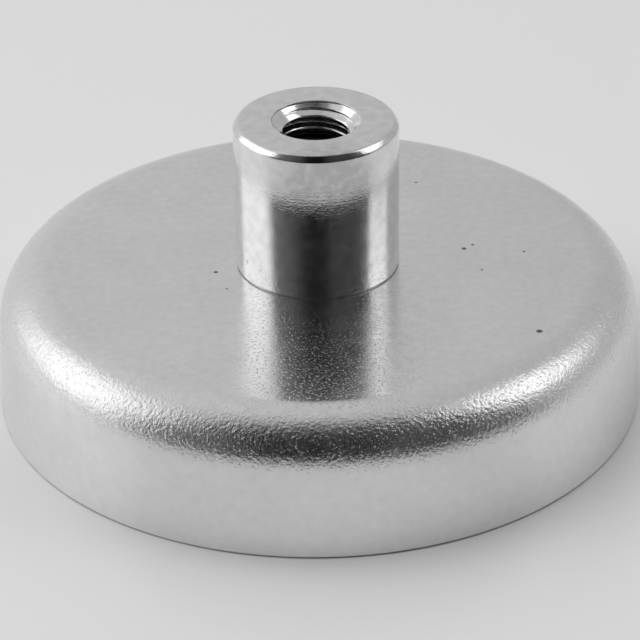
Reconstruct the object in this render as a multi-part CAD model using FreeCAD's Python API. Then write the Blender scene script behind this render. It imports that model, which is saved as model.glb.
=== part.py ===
# Round pot magnet with a threaded bush, as screwed to the end of a magnet-fishing rope.
# It stands on its working face. Millimetres, +Z up through the bush.
# Origin: centre of the working face, in the plane of the steel rim.
import FreeCAD, Part
import math
import os

Vector = FreeCAD.Vector

# Driving dimensions of the steel cup
CUP_DIAMETER = 50.0         # outside, at the rim
CUP_HEIGHT = 10.6
CUP_DRAFT = math.radians(3.5)   # lean of the outer wall
SHOULDER_RADIUS = 4.0       # outer corner between wall and flat top
FLOOR_THICKNESS = 3.0
WALL_THICKNESS = 2.8        # at the rim
INNER_CORNER_RADIUS = 0.8
RIM_EDGE_BREAK = 0.25

# Driving dimensions of the threaded bush
BUSH_DIAMETER = 12.5
OVERALL_HEIGHT = 22.5       # working face to the bush's top face
BUSH_CHAMFER_WIDTH = 0.36   # top edge, across the top face
BUSH_CHAMFER_HEIGHT = 0.43  # and down the side
FOOT_RELIEF_DEPTH = 0.15    # undercut that leaves a fine groove where the bush meets the cup
FOOT_RELIEF_HEIGHT = 0.12
SPIGOT_DIAMETER = 8.5       # neck that passes through the cup's floor
RIVET_DIAMETER = 10.5       # swaged end under the floor
RIVET_HEIGHT = 1.2
RIVET_EDGE_RADIUS = 0.5

# Thread in the bush, M6 x 1
THREAD_PITCH = 1.0
THREAD_MAJOR_DIAMETER = 6.0
TAP_DRILL_DIAMETER = 5.0
MOUTH_DIAMETER = 6.7
MOUTH_LIP_HEIGHT = 0.13     # short straight wall at the mouth, above the countersink
COUNTERSINK_ANGLE = math.radians(100.0)
THREAD_DEPTH = 11.0
THREAD_START_ANGLE = 277.0  # degrees from +X, where the groove's lower end lies
DRILL_DEPTH = 13.0          # to the end of the full diameter
DRILL_POINT_ANGLE = math.radians(118.0)

# Magnet and its resin
MAGNET_OUTER_DIAMETER = 41.0
MAGNET_BORE = 12.0
MAGNET_EDGE_CHAMFER = 0.3
FACE_RECESS = 0.2           # magnet and resin lie this far inside the rim
ADHESIVE_THICKNESS = 0.2

# Derived sizes
CUP_RADIUS = CUP_DIAMETER / 2
INNER_RADIUS = CUP_RADIUS - WALL_THICKNESS
CEILING = CUP_HEIGHT - FLOOR_THICKNESS          # underside of the cup's floor
SPIGOT_RADIUS = SPIGOT_DIAMETER / 2
RIVET_RADIUS = RIVET_DIAMETER / 2
BORE_RADIUS = TAP_DRILL_DIAMETER / 2
MAGNET_RADIUS = MAGNET_OUTER_DIAMETER / 2
MAGNET_TOP = CEILING - ADHESIVE_THICKNESS


def point(radius, height):
    """A profile point in the XZ plane."""
    return Vector(radius, 0, height)


def line(start, end):
    return Part.LineSegment(start, end).toShape()


def arc(centre, radius, start_angle, end_angle):
    """An arc in the XZ plane. Angles are from +X towards +Z."""
    middle_angle = (start_angle + end_angle) / 2
    places = [centre + Vector(radius * math.cos(a), 0, radius * math.sin(a))
              for a in (start_angle, middle_angle, end_angle)]
    return Part.Arc(*places).toShape()


def chain(pieces):
    """Edges from a list of points and arcs, with straight lines wherever two don't meet, closed."""
    edges = []
    ends = []
    for piece in pieces:
        if isinstance(piece, Vector):
            ends.append((piece, piece))
        else:
            ends.append((piece.firstVertex().Point, piece.lastVertex().Point))
    for index, piece in enumerate(pieces):
        if not isinstance(piece, Vector):
            edges.append(piece)
        leaves = ends[index][1]
        arrives = ends[(index + 1) % len(pieces)][0]
        if leaves.distanceToPoint(arrives) > 1e-7:
            edges.append(line(leaves, arrives))
    return edges


def turned(pieces):
    """A solid of revolution about the Z axis from a closed half-section."""
    section = Part.Face(Part.Wire(chain(pieces)))
    return section.revolve(Vector(0, 0, 0), Vector(0, 0, 1), 360)


def make_cup():
    """Cold-formed steel cup: thick floor on top, drafted wall, large outer shoulder."""
    quarter = math.pi / 2
    lean = math.tan(CUP_DRAFT)
    shoulder_height = CUP_HEIGHT - SHOULDER_RADIUS
    shoulder_centre = point(
        CUP_RADIUS - shoulder_height * lean - SHOULDER_RADIUS / math.cos(CUP_DRAFT),
        shoulder_height)
    corner_centre = point(INNER_RADIUS - INNER_CORNER_RADIUS, CEILING - INNER_CORNER_RADIUS)
    return turned([
        point(SPIGOT_RADIUS, CEILING),
        arc(corner_centre, INNER_CORNER_RADIUS, quarter, 0),
        point(INNER_RADIUS, RIM_EDGE_BREAK),
        point(INNER_RADIUS + RIM_EDGE_BREAK, 0),
        point(CUP_RADIUS - RIM_EDGE_BREAK, 0),
        point(CUP_RADIUS - RIM_EDGE_BREAK * lean, RIM_EDGE_BREAK),
        arc(shoulder_centre, SHOULDER_RADIUS, CUP_DRAFT, quarter),
        point(SPIGOT_RADIUS, CUP_HEIGHT),
    ])


def rivet_section():
    """Half-section of the swaged end, from the neck to the axis."""
    bottom = CEILING - RIVET_HEIGHT
    edge_centre = point(RIVET_RADIUS - RIVET_EDGE_RADIUS, bottom + RIVET_EDGE_RADIUS)
    return [
        point(SPIGOT_RADIUS, CEILING),
        point(RIVET_RADIUS, CEILING),
        arc(edge_centre, RIVET_EDGE_RADIUS, 0, -math.pi / 2),
        point(0, bottom),
    ]


def tap_drill_hole():
    """Drilled hole with a conical point. Its wall is made of four quarter cylinders."""
    floor_height = OVERALL_HEIGHT - DRILL_DEPTH
    corners = [Vector(BORE_RADIUS * math.cos(a), BORE_RADIUS * math.sin(a), floor_height)
               for a in (math.radians(step * 45) for step in range(9))]
    arcs = [Part.Arc(*corners[first:first + 3]).toShape() for first in range(0, 8, 2)]
    wall = Part.Face(Part.Wire(arcs)).extrude(Vector(0, 0, DRILL_DEPTH + THREAD_PITCH))
    tip_depth = BORE_RADIUS / math.tan(DRILL_POINT_ANGLE / 2)
    tip = Part.makeCone(0, BORE_RADIUS, tip_depth, Vector(0, 0, floor_height - tip_depth))
    return wall, tip


def countersink():
    """Short straight lip and wide cone at the mouth of the hole, down to a point on the axis."""
    mouth_radius = MOUTH_DIAMETER / 2
    cone_top = OVERALL_HEIGHT - MOUTH_LIP_HEIGHT
    cone_depth = mouth_radius / math.tan(COUNTERSINK_ANGLE / 2)
    return turned([
        point(0, cone_top - cone_depth),
        point(mouth_radius, cone_top),
        point(mouth_radius, OVERALL_HEIGHT),
        point(0, OVERALL_HEIGHT),
    ])


def thread_groove():
    """Helical 60 degree groove of the female thread, flat at its root, one turn past the mouth."""
    root_radius = THREAD_MAJOR_DIAMETER / 2
    root_half_width = THREAD_PITCH / 16
    inner_radius = BORE_RADIUS - THREAD_PITCH / 5
    inner_half_width = root_half_width + (root_radius - inner_radius) * math.tan(math.pi / 6)
    start_height = OVERALL_HEIGHT - THREAD_DEPTH

    def helix(radius, rise):
        edges = Part.makeLongHelix(THREAD_PITCH, THREAD_DEPTH + THREAD_PITCH, radius, 0)
        edges.translate(Vector(0, 0, start_height + rise))
        return edges

    corners = [
        helix(inner_radius, -inner_half_width),
        helix(root_radius, -root_half_width),
        helix(root_radius, root_half_width),
        helix(inner_radius, inner_half_width),
    ]
    faces = []
    for lower, upper in zip(corners, corners[1:] + corners[:1]):
        for one_turn, same_turn in zip(lower.Edges, upper.Edges):
            faces.append(Part.makeRuledSurface(one_turn, same_turn))
    starts = [corner.Edges[0].firstVertex().Point for corner in corners]
    stops = [corner.Edges[-1].lastVertex().Point for corner in corners]
    for section in (starts, stops):
        faces.append(Part.Face(Part.makePolygon(section + section[:1])))
    groove = Part.Solid(Part.Shell(faces))
    groove.rotate(Vector(0, 0, 0), Vector(0, 0, 1), THREAD_START_ANGLE)
    return groove


def make_bush():
    """Turned steel bush, swaged through the cup's floor, with a blind M6 thread from the top."""
    radius = BUSH_DIAMETER / 2
    body = turned(rivet_section() + [
        point(0, OVERALL_HEIGHT),
        point(radius - BUSH_CHAMFER_WIDTH, OVERALL_HEIGHT),
        point(radius, OVERALL_HEIGHT - BUSH_CHAMFER_HEIGHT),
        point(radius, CUP_HEIGHT + FOOT_RELIEF_HEIGHT),
        point(radius - FOOT_RELIEF_DEPTH, CUP_HEIGHT + FOOT_RELIEF_HEIGHT),
        point(radius - FOOT_RELIEF_DEPTH, CUP_HEIGHT),
        point(SPIGOT_RADIUS, CUP_HEIGHT),
    ])
    for tool in (*tap_drill_hole(), countersink(), thread_groove()):
        body = body.cut(tool)
    return body.Solids[0]


def make_magnet():
    """Flat ring magnet with lightly chamfered edges."""
    inner, outer, edge = MAGNET_BORE / 2, MAGNET_RADIUS, MAGNET_EDGE_CHAMFER
    return turned([
        point(inner, MAGNET_TOP),
        point(inner, FACE_RECESS + edge),
        point(inner + edge, FACE_RECESS),
        point(outer - edge, FACE_RECESS),
        point(outer, FACE_RECESS + edge),
        point(outer, MAGNET_TOP),
    ])


def make_adhesive():
    """Thin bond between the magnet and the cup's floor."""
    inner, outer = MAGNET_BORE / 2, MAGNET_RADIUS
    return turned([
        point(inner, MAGNET_TOP),
        point(outer, MAGNET_TOP),
        point(outer, CEILING),
        point(inner, CEILING),
    ])


def make_outer_resin():
    """Potting ring between the magnet and the cup's wall."""
    inner, edge = MAGNET_RADIUS, MAGNET_EDGE_CHAMFER
    corner_centre = point(INNER_RADIUS - INNER_CORNER_RADIUS, CEILING - INNER_CORNER_RADIUS)
    return turned([
        point(inner, CEILING),
        point(inner, FACE_RECESS + edge),
        point(inner - edge, FACE_RECESS),
        point(INNER_RADIUS, FACE_RECESS),
        arc(corner_centre, INNER_CORNER_RADIUS, 0, math.pi / 2),
    ])


def make_centre_resin():
    """Potting plug that fills the magnet's bore under the swaged end of the bush."""
    outer, edge = MAGNET_BORE / 2, MAGNET_EDGE_CHAMFER
    blank = turned([
        point(0, FACE_RECESS),
        point(outer + edge, FACE_RECESS),
        point(outer, FACE_RECESS + edge),
        point(outer, CEILING),
        point(0, CEILING),
    ])
    swaged_end = turned(rivet_section() + [point(0, CEILING)])
    return blank.cut(swaged_end).Solids[0]


PARTS = {
    "steel_cup": make_cup,
    "threaded_bush": make_bush,
    "ring_magnet": make_magnet,
    "magnet_adhesive": make_adhesive,
    "outer_resin_ring": make_outer_resin,
    "centre_resin_plug": make_centre_resin,
}

os.makedirs("parts", exist_ok=True)
for name, make in PARTS.items():
    shape = make()
    shape.exportStep(f"parts/{name}.step")
    print(name, shape.ShapeType, "valid", shape.isValid(), "solids", len(shape.Solids),
          "faces", len(shape.Faces), "volume", round(shape.Volume, 2))
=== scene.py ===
"""A round pot magnet with a threaded bush, standing on a pale studio floor.

Fine turned meshes stand for the CAD's cup, bush and magnet, and the resin keeps its CAD meshes.
Sizes and profiles are in millimetres; everything that goes into Blender is in metres.
"""
import math

import bpy
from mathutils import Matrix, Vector


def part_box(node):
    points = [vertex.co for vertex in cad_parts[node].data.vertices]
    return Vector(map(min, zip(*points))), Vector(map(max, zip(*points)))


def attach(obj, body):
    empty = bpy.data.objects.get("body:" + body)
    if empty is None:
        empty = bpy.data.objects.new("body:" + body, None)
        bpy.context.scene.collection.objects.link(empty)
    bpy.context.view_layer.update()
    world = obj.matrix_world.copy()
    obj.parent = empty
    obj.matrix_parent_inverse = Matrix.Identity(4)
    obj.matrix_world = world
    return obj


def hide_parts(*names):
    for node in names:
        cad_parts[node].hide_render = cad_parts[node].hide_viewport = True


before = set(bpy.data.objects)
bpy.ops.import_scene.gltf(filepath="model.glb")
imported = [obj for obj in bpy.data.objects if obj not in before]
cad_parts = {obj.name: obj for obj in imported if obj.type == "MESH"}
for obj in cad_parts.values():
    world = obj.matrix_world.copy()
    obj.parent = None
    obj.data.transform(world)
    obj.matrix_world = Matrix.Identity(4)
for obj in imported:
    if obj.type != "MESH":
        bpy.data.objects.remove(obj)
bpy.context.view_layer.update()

MM = 0.001
MICRON = 0.000001
TURN = 2 * math.pi

# ---- sizes, with heights from the frame

cup_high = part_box("steel_cup")[1]
bush_low, bush_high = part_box("threaded_bush")
magnet_low, magnet_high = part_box("ring_magnet")
resin_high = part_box("outer_resin_ring")[1]

CUP_RADIUS = 25.0                       # at the rim
CUP_HEIGHT = cup_high.z / MM
CUP_DRAFT = math.radians(3.5)
SHOULDER_RADIUS = 4.0
FLAT_RADIUS = 20.6                      # where the shoulder starts
CEILING = resin_high.z / MM             # underside of the cup's floor
INNER_RADIUS = 22.2
INNER_CORNER_RADIUS = 0.8
RIM_ROUNDING = 0.3

BUSH_RADIUS = 6.25
BUSH_TOP = bush_high.z / MM
BUSH_CHAMFER_WIDTH = 0.36               # top edge, across the top face
BUSH_CHAMFER_HEIGHT = 0.43              # and down the side
CHAMFER_LOWER_ROUNDING = 0.35
CHAMFER_UPPER_ROUNDING = 0.30
FOOT_RELIEF_DEPTH = 0.15
FOOT_RELIEF_HEIGHT = 0.12
FOOT_RELIEF_ROUNDING = 0.03
SPIGOT_RADIUS = 4.25
RIVET_RADIUS = 5.25
RIVET_ROUNDING = 0.5
RIVET_BOTTOM = bush_low.z / MM
EDGE_ROUNDING = 0.05                    # at the edges that are only deburred

THREAD_PITCH = 1.0
THREAD_RADIUS = 3.0                     # at the groove's root
ROOT_HALF_WIDTH = THREAD_PITCH / 16     # half the flat at the groove's root
FLANK_SLOPE = math.tan(math.radians(60))
BORE_RADIUS = 2.5                       # at the crest
MOUTH_RADIUS = 3.35
MOUTH_LIP_HEIGHT = 0.13
MOUTH_LIP_ROUNDING = 0.04
COUNTERSINK_HALF_ANGLE = math.radians(50)
THREAD_DEPTH = 11.0
THREAD_START_ANGLE = math.radians(277)
DRILL_DEPTH = 13.0
DRILL_HALF_ANGLE = math.radians(59)

MAGNET_RADIUS = 20.5
MAGNET_BORE_RADIUS = 6.0
MAGNET_CHAMFER = 0.3
MAGNET_FACE = magnet_low.z / MM
MAGNET_TOP = magnet_high.z / MM

PIT_FADE = 1.5                          # a pit ends at this many times its radius
# Small pits in the plating of the flat top: x, y and radius
PITS = (
    (-7.8, -1.8, 0.15),
    (-6.9, -4.4, 0.08),
    (8.0, 12.6, 0.10),
    (11.3, 1.4, 0.17),
    (12.0, 2.0, 0.11),
    (12.5, -2.0, 0.09),
    (15.9, 0.8, 0.10),
    (16.2, -11.4, 0.22),
)


# ---- mesh helpers

def rounded(corners, steps=6):
    """A profile from (radius, height, rounding) corners, each rounding an arc of that radius."""
    points = []
    for index, (radius, height, rounding) in enumerate(corners):
        here = Vector((radius, height))
        if rounding == 0 or index in (0, len(corners) - 1):
            points.append(here)
            continue
        before = (Vector(corners[index - 1][:2]) - here).normalized()
        after = (Vector(corners[index + 1][:2]) - here).normalized()
        half = before.angle(after) / 2
        reach = rounding / math.tan(half)
        centre = here + (before + after).normalized() * (rounding / math.sin(half))
        start = here + before * reach - centre
        sweep = start.angle_signed(here + after * reach - centre)
        for step in range(steps + 1):
            turn = -sweep * step / steps
            c, s = math.cos(turn), math.sin(turn)
            points.append(centre + Vector((c * start.x - s * start.y, s * start.x + c * start.y)))
    return points


def divided(points, longest):
    """The same profile with extra points, so that no run is longer than the given length."""
    result = [points[0]]
    for start, end in zip(points, points[1:]):
        count = max(1, math.ceil((end - start).length / longest))
        result += [start.lerp(end, step / count) for step in range(1, count + 1)]
    return result


def turned(name, profile, segments, reshape=None):
    """A mesh turned about Z from a closed profile that runs anticlockwise round the section.

    reshape(radius, height, angle) may return another radius, for a thread.
    """
    axis_tolerance = 0.000001
    vertices, rows = [], []
    for point in profile:
        if point.x < axis_tolerance:
            rows.append([len(vertices)])
            vertices.append((0, 0, point.y * MM))
            continue
        rows.append(list(range(len(vertices), len(vertices) + segments)))
        for segment in range(segments):
            angle = TURN * segment / segments
            radius = reshape(point.x, point.y, angle) if reshape else point.x
            vertices.append((radius * math.cos(angle) * MM, radius * math.sin(angle) * MM,
                             point.y * MM))
    if len(rows[0]) > 1:
        rows.append(rows[0])
    faces = []
    for lower, upper in zip(rows, rows[1:]):
        for segment in range(segments):
            after = (segment + 1) % segments
            if len(lower) == 1:
                faces.append((lower[0], upper[after], upper[segment]))
            elif len(upper) == 1:
                faces.append((lower[segment], lower[after], upper[0]))
            else:
                faces.append((lower[segment], lower[after], upper[after], upper[segment]))
    mesh = bpy.data.meshes.new(name)
    mesh.from_pydata(vertices, [], faces)
    mesh.update()
    mesh.shade_smooth()
    piece = bpy.data.objects.new(name, mesh)
    bpy.context.scene.collection.objects.link(piece)
    return piece


# ---- material helpers

class Nodes:
    """Short ways to add nodes to a node tree."""

    def __init__(self, tree, coordinates):
        """coordinates names an output of the Texture Coordinate node."""
        self.tree = tree
        self.place = self.node("ShaderNodeTexCoord").outputs[coordinates]

    def node(self, kind, **settings):
        made = self.tree.nodes.new(kind)
        for key, value in settings.items():
            setattr(made, key, value)
        return made

    def feed(self, socket, value):
        """Links an output to a socket, or sets a plain value on it."""
        if isinstance(value, bpy.types.NodeSocket):
            self.tree.links.new(value, socket)
        else:
            socket.default_value = value

    def math(self, operation, first, second=0.0):
        made = self.node("ShaderNodeMath", operation=operation)
        self.feed(made.inputs[0], first)
        self.feed(made.inputs[1], second)
        return made.outputs[0]

    def product(self, first, second):
        return self.math("MULTIPLY", first, second)

    def total(self, first, second):
        return self.math("ADD", first, second)

    def ramp(self, value, low, high, to_low=0.0, to_high=1.0):
        """A smooth step from to_low at low to to_high at high."""
        made = self.node("ShaderNodeMapRange", interpolation_type="SMOOTHSTEP")
        for socket, amount in zip(made.inputs, (value, low, high, to_low, to_high)):
            self.feed(socket, amount)
        return made.outputs[0]

    def parts(self):
        """(x, y, z) of the coordinates."""
        made = self.node("ShaderNodeSeparateXYZ")
        self.feed(made.inputs[0], self.place)
        return made.outputs

    def hypotenuse(self, first, second):
        squares = self.total(self.product(first, first), self.product(second, second))
        return self.math("SQRT", squares)


class Metal(Nodes):
    """A material with a Principled shader, and textures in its piece's own coordinates."""

    def __init__(self, name):
        self.material = bpy.data.materials.new(name)
        self.material.use_nodes = True
        super().__init__(self.material.node_tree, "Object")
        self.normal = None

    def noise(self, size, detail=2.0, place=None):
        """Noise from 0 to 1 with features of about the given size in millimetres."""
        made = self.node("ShaderNodeTexNoise")
        self.feed(made.inputs["Vector"], place or self.place)
        made.inputs["Scale"].default_value = 1 / (size * MM)
        made.inputs["Detail"].default_value = detail
        return made.outputs["Fac"]

    def cloud(self, size, low, high, detail=3.0):
        """Soft patches between two values. Most of the noise lies between usual_low and usual_high."""
        usual_low, usual_high = 0.3, 0.7
        return self.ramp(self.noise(size, detail), usual_low, usual_high, low, high)

    def spot(self, x, y, z, radius):
        """1 near a point, falling to 0 at the given distance from it, all in millimetres."""
        core_radius = 0.4 * radius
        made = self.node("ShaderNodeVectorMath", operation="DISTANCE")
        self.feed(made.inputs[0], self.place)
        made.inputs[1].default_value = (x * MM, y * MM, z * MM)
        return self.ramp(made.outputs["Value"], core_radius * MM, radius * MM, 1.0, 0.0)

    def radius_and_height(self):
        """Distance from the piece's axis and height above the floor, in metres."""
        x, y, z = self.parts()
        return self.hypotenuse(x, y), z

    def around(self, stretch):
        """Coordinates for marks that run round the axis, stretched that many times."""
        x, y, z = self.parts()
        angle = self.math("ARCTAN2", y, x)
        made = self.node("ShaderNodeCombineXYZ")
        self.feed(made.inputs[0], self.hypotenuse(x, y))
        self.feed(made.inputs[1], z)
        self.feed(made.inputs[2], self.product(angle, BUSH_RADIUS * MM / stretch))
        return made.outputs[0]

    def mix(self, value, low, high):
        """A colour between two colours. Either may come from another node."""
        made = self.node("ShaderNodeMix", data_type="RGBA")
        self.feed(made.inputs["Factor"], value)
        self.feed(made.inputs["A"], low)
        self.feed(made.inputs["B"], high)
        return made.outputs["Result"]

    def bump(self, height, depth):
        """Adds relief: a height of 0 to 1 spans the given depth in micrometres."""
        made = self.node("ShaderNodeBump")
        made.inputs["Distance"].default_value = depth * MICRON
        self.feed(made.inputs["Height"], height)
        if self.normal:
            self.feed(made.inputs["Normal"], self.normal)
        self.normal = made.outputs["Normal"]

    def finished(self, colour, roughness, metallic):
        """The material, with its shader's inputs set."""
        shader = self.tree.nodes["Principled BSDF"]
        shader.inputs["Metallic"].default_value = metallic
        self.feed(shader.inputs["Base Color"], colour)
        self.feed(shader.inputs["Roughness"], roughness)
        self.feed(shader.inputs["Normal"], self.normal)
        return self.material


# ---- materials

def grey(level):
    return (level, level, level, 1)


def plated_cup():
    """Bright zinc on pressed steel: a smooth pitted top, and orange peel round the shoulder."""
    m = Metal("bright_zinc_pressed")
    radius, height = m.radius_and_height()
    wall_top = CUP_HEIGHT - SHOULDER_RADIUS
    peel = m.product(m.ramp(radius, (FLAT_RADIUS + 0.6) * MM, (FLAT_RADIUS + 2.2) * MM),
                     m.ramp(height, (wall_top - 1.5) * MM, (wall_top + 2.0) * MM, 0.12, 1.0))
    m.bump(m.product(m.noise(0.25), peel), 42)
    specks = m.ramp(m.noise(0.2), 0.55, 0.75)
    above_wall = m.ramp(height, wall_top * MM, (wall_top + 1.0) * MM, 0.5, 1.0)
    m.bump(m.product(specks, above_wall), 15)
    m.bump(m.noise(1.6), 6)
    pits = 0.0
    for x, y, size in PITS:
        pits = m.math("MAXIMUM", pits, m.spot(x, y, CUP_HEIGHT, size * PIT_FADE))
    patches = m.total(m.cloud(7.0, 0.0, 0.5), m.cloud(0.7, 0.0, 0.5))
    zinc = m.mix(patches, grey(0.76), grey(0.835))
    colour = m.mix(pits, zinc, grey(0.12))
    roughness = m.total(m.cloud(2.0, 0.19, 0.24), m.product(peel, 0.05))
    return m.finished(colour, roughness, 1.0)


def turned_steel():
    """Bright zinc on turned steel: fine lathe marks, painted shade on its front, and painted shade
    deep in the thread, which is also rougher there.
    """
    m = Metal("bright_zinc_turned")
    radius, height = m.radius_and_height()
    lathe_marks = m.noise(0.14, place=m.around(100.0))
    m.bump(lathe_marks, 3)
    m.bump(m.noise(0.18), 6)
    # Painted shade deep in the threaded hole: the colour goes nearly black from about 2 mm below the
    # top, where the hole lies in shade; the roughness rises there too
    deep_thread_shade_and_dullness = m.product(
        m.ramp(radius, (THREAD_RADIUS + 0.05) * MM, (THREAD_RADIUS + 0.3) * MM, 1.0, 0.0),
        m.ramp(height, (BUSH_TOP - 1.7) * MM, (BUSH_TOP - 2.6) * MM))
    # Painted shade on the bush's front, below its top: the zinc is darkened there in patches, standing
    # in for the shaded floor near the cup that this side reflects
    painted_front_shade = m.product(m.spot(0.8, -BUSH_RADIUS, BUSH_TOP - 3.0, 5.0), m.cloud(0.6, 0.5, 1.0))
    zinc = m.mix(m.total(m.cloud(0.9, 0.0, 0.35), painted_front_shade), grey(0.82), grey(0.57))
    # grey 0.08 is the painted shade deep in the thread
    colour = m.mix(deep_thread_shade_and_dullness, zinc, grey(0.08))
    roughness = m.total(m.cloud(0.8, 0.10, 0.15), m.product(deep_thread_shade_and_dullness, 0.3))
    return m.finished(colour, roughness, 1.0)


def satin_nickel():
    """Warm satin nickel plating, for the magnet."""
    m = Metal("satin_nickel")
    m.bump(m.noise(0.25), 2)
    colour = m.mix(m.noise(4.0), (0.60, 0.575, 0.53, 1), (0.66, 0.635, 0.59, 1))
    return m.finished(colour, m.cloud(1.2, 0.24, 0.34), 1.0)


def black_epoxy():
    """Glossy black potting resin, slightly wavy where it set."""
    m = Metal("black_epoxy")
    m.bump(m.noise(1.6), 18)
    colour = m.mix(m.noise(3.0), grey(0.012), grey(0.02))
    return m.finished(colour, m.cloud(1.0, 0.12, 0.28), 0.0)


def glossy_card():
    """The studio floor: a pale card with a slight shine."""
    material = bpy.data.materials.new("glossy_card")
    material.use_nodes = True
    shader = material.node_tree.nodes["Principled BSDF"]
    shader.inputs["Base Color"].default_value = grey(0.91)
    shader.inputs["Roughness"].default_value = 0.35
    shader.inputs["Specular IOR Level"].default_value = 1.0
    return material


# ---- the pieces

def finish_piece(piece, node, material):
    """Gives a piece its material, and its place in the frame instead of a CAD node."""
    piece.data.materials.append(material)
    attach(piece, "root")
    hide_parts(node)


def make_cup(material):
    """The pressed cup, with its open side down."""
    wall_top_radius = CUP_RADIUS - CUP_HEIGHT * math.tan(CUP_DRAFT)
    profile = rounded([
        (SPIGOT_RADIUS, CEILING, 0),
        (INNER_RADIUS, CEILING, INNER_CORNER_RADIUS),
        (INNER_RADIUS, 0, RIM_ROUNDING),
        (CUP_RADIUS, 0, RIM_ROUNDING),
        (wall_top_radius, CUP_HEIGHT, SHOULDER_RADIUS),
        (SPIGOT_RADIUS, CUP_HEIGHT, 0),
    ], steps=24)
    piece = turned("steel_cup_shell", divided(profile, longest=1.5), segments=384)
    finish_piece(piece, "steel_cup", material)


def thread_radius(radius, height, angle):
    """The bore's radius at a point: its own wall, or the thread's groove where that is deeper."""
    if radius > THREAD_RADIUS:
        return radius
    turns_up = (height - BUSH_TOP + THREAD_DEPTH) / THREAD_PITCH
    turns_up -= (angle - THREAD_START_ANGLE) % TURN / TURN
    if turns_up < -0.5:                 # below the groove's lowest turn
        return radius
    from_centre = abs((turns_up + 0.5) % 1 - 0.5) * THREAD_PITCH
    along_flank = max(0, from_centre - ROOT_HALF_WIDTH)
    return max(radius, THREAD_RADIUS - along_flank * FLANK_SLOPE)


def make_bush(material):
    """The bush: its outside from the rivet up to the mouth, then its threaded and drilled hole."""
    cone_top = BUSH_TOP - MOUTH_LIP_HEIGHT
    cone_end = cone_top - (MOUTH_RADIUS - BORE_RADIUS) / math.tan(COUNTERSINK_HALF_ANGLE)
    drill_floor = BUSH_TOP - DRILL_DEPTH
    drill_tip = drill_floor - BORE_RADIUS / math.tan(DRILL_HALF_ANGLE)
    foot_radius = BUSH_RADIUS - FOOT_RELIEF_DEPTH
    outside = rounded([
        (0, RIVET_BOTTOM, 0),
        (RIVET_RADIUS, RIVET_BOTTOM, RIVET_ROUNDING),
        (RIVET_RADIUS, CEILING, EDGE_ROUNDING),
        (SPIGOT_RADIUS, CEILING, 0),
        (SPIGOT_RADIUS, CUP_HEIGHT, 0),
        (foot_radius, CUP_HEIGHT, 0),
        (foot_radius, CUP_HEIGHT + FOOT_RELIEF_HEIGHT, FOOT_RELIEF_ROUNDING),
        (BUSH_RADIUS, CUP_HEIGHT + FOOT_RELIEF_HEIGHT, EDGE_ROUNDING),
        (BUSH_RADIUS, BUSH_TOP - BUSH_CHAMFER_HEIGHT, CHAMFER_LOWER_ROUNDING),
        (BUSH_RADIUS - BUSH_CHAMFER_WIDTH, BUSH_TOP, CHAMFER_UPPER_ROUNDING),
        (MOUTH_RADIUS, BUSH_TOP, MOUTH_LIP_ROUNDING),
        (MOUTH_RADIUS, cone_top, 0),
    ], steps=10)
    bore = divided([
        Vector((MOUTH_RADIUS, cone_top)),
        Vector((BORE_RADIUS, cone_end)),
        Vector((BORE_RADIUS, BUSH_TOP - THREAD_DEPTH - THREAD_PITCH)),
    ], longest=0.05)
    end = [Vector((BORE_RADIUS, drill_floor)), Vector((0, drill_tip))]
    profile = outside + bore[1:] + end
    piece = turned("threaded_bush_turned", profile, segments=192, reshape=thread_radius)
    finish_piece(piece, "threaded_bush", material)


def make_magnet(material):
    """The ring magnet. Its profile starts and ends on the top face, where no edge is."""
    inner_seam = MAGNET_BORE_RADIUS + 1
    outer_seam = MAGNET_BORE_RADIUS + 2
    profile = rounded([
        (inner_seam, MAGNET_TOP, 0),
        (MAGNET_BORE_RADIUS, MAGNET_TOP, EDGE_ROUNDING),
        (MAGNET_BORE_RADIUS, MAGNET_FACE, MAGNET_CHAMFER),
        (MAGNET_RADIUS, MAGNET_FACE, MAGNET_CHAMFER),
        (MAGNET_RADIUS, MAGNET_TOP, EDGE_ROUNDING),
        (outer_seam, MAGNET_TOP, 0),
    ])
    piece = turned("ring_magnet_plated", profile, segments=256)
    finish_piece(piece, "ring_magnet", material)


def make_resin(material):
    """The bond and the potting resin keep their CAD meshes."""
    for node in ("outer_resin_ring", "centre_resin_plug", "magnet_adhesive"):
        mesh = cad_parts[node].data
        mesh.materials.clear()
        mesh.materials.append(material)


# ---- floor, lights and camera. Azimuth 0 is towards the camera, positive to the right.

def make_floor():
    half = 4.0
    mesh = bpy.data.meshes.new("studio_floor")
    mesh.from_pydata([(-half, -half, 0), (half, -half, 0), (half, half, 0), (-half, half, 0)],
                     [], [(0, 1, 2, 3)])
    mesh.materials.append(glossy_card())
    floor = bpy.data.objects.new("studio_floor", mesh)
    bpy.context.scene.collection.objects.link(floor)


def towards(azimuth, elevation):
    """Unit vector from the object, from angles in degrees."""
    a, e = math.radians(azimuth), math.radians(elevation)
    return Vector((math.sin(a) * math.cos(e), -math.cos(a) * math.cos(e), math.sin(e)))


def make_softbox(name, azimuth, elevation, width, height, radiance, seen=True):
    """A rectangular area light that faces the object. Width and height are angles in degrees.

    One that is not seen gives light to the floor but no highlight on the metal.
    """
    distance = 0.7
    light = bpy.data.lights.new(name, "AREA")
    light.shape = "RECTANGLE"
    light.size = 2 * distance * math.tan(math.radians(width / 2))
    light.size_y = 2 * distance * math.tan(math.radians(height / 2))
    light.energy = radiance * math.pi * light.size * light.size_y
    softbox = bpy.data.objects.new(name, light)
    softbox.location = towards(azimuth, elevation) * distance
    softbox.rotation_euler = towards(azimuth, elevation).to_track_quat("Z", "Y").to_euler()
    softbox.visible_camera = False
    softbox.visible_glossy = seen
    bpy.context.scene.collection.objects.link(softbox)


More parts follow.
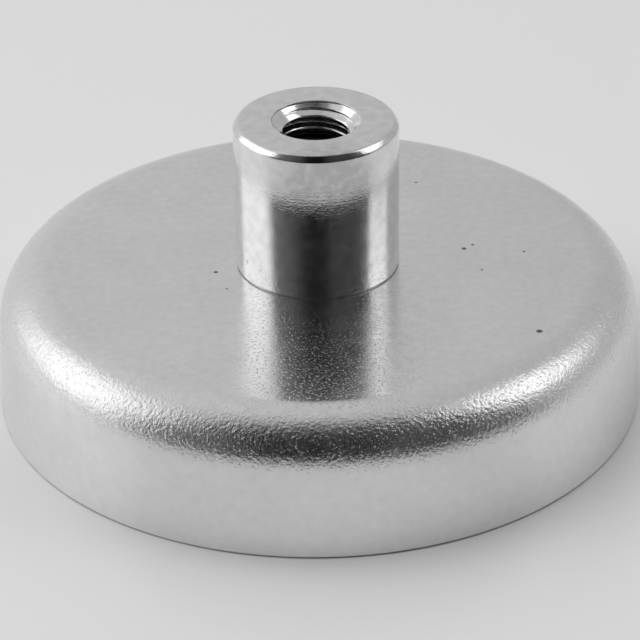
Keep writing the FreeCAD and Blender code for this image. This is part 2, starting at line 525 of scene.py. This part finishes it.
def make_world():
    """A pale studio tent, open on the camera's side, where a dark room shows."""
    world = bpy.data.worlds.new("studio_tent")
    world.use_nodes = True
    bpy.context.scene.world = world
    n = Nodes(world.node_tree, "Generated")
    x, y, z = n.parts()

    def sine(degrees):
        return math.sin(math.radians(degrees))

    def cosine(degrees):
        return math.cos(math.radians(degrees))

    room_azimuth = 6
    level = n.hypotenuse(x, y)
    to_camera = n.product(y, -1.0)
    to_room = n.total(n.product(to_camera, cosine(room_azimuth)),
                      n.product(x, sine(room_azimuth)))
    sine_azimuth = n.math("DIVIDE", x, level)
    cosine_off_room = n.math("DIVIDE", to_room, level)
    sides = n.ramp(cosine_off_room, cosine(75), cosine(68))
    overhead = n.ramp(z, sine(62), sine(80))
    upper_edge = n.ramp(to_camera, -0.25, 0.42)
    lower_edge = n.ramp(z, sine(0), sine(2))
    opening = n.product(n.product(n.math("MAXIMUM", sides, overhead), upper_edge), lower_edge)
    room = n.total(n.ramp(sine_azimuth, sine(-58), sine(-10), 0.13, 0.008),
                   n.ramp(sine_azimuth, sine(8), sine(24), 0.0, 0.048))
    tent = n.ramp(x, -0.6, 0.6, 0.67, 0.48)
    strength = n.total(n.product(tent, n.math("SUBTRACT", 1.0, opening)),
                       n.product(room, opening))
    background = world.node_tree.nodes["Background"]
    background.inputs["Color"].default_value = (1, 1, 1, 1)
    n.feed(background.inputs["Strength"], strength)


def make_camera():
    """A long lens, 30 degrees above the floor, rolled by a fraction of a degree."""
    target = Vector((0.1, 0, 5.21)) * MM
    distance = 223.9 * MM
    back = towards(0, 30.08)
    roll = math.radians(-0.81)
    camera = bpy.data.objects.new("camera", bpy.data.cameras.new("camera"))
    camera.data.sensor_width = 36.0
    camera.data.lens = 161.9
    camera.data.clip_start = 0.01
    camera.data.clip_end = 10
    camera.location = target + back * distance
    camera.rotation_euler = back.to_track_quat("Z", "Y").to_euler()
    camera.rotation_euler.rotate_axis("Z", roll)
    bpy.context.scene.collection.objects.link(camera)
    bpy.context.scene.camera = camera


make_camera()
make_floor()
make_world()
make_softbox("left_softbox", -101, 29, 50, 44, 0.65)
make_softbox("right_softbox", 96, 44, 31, 31, 1.0)
make_softbox("floor_fill", -80, 68, 60, 60, 1.0, seen=False)
bpy.context.scene.view_settings.view_transform = "Standard"

make_cup(plated_cup())
make_bush(turned_steel())
make_magnet(satin_nickel())
make_resin(black_epoxy())
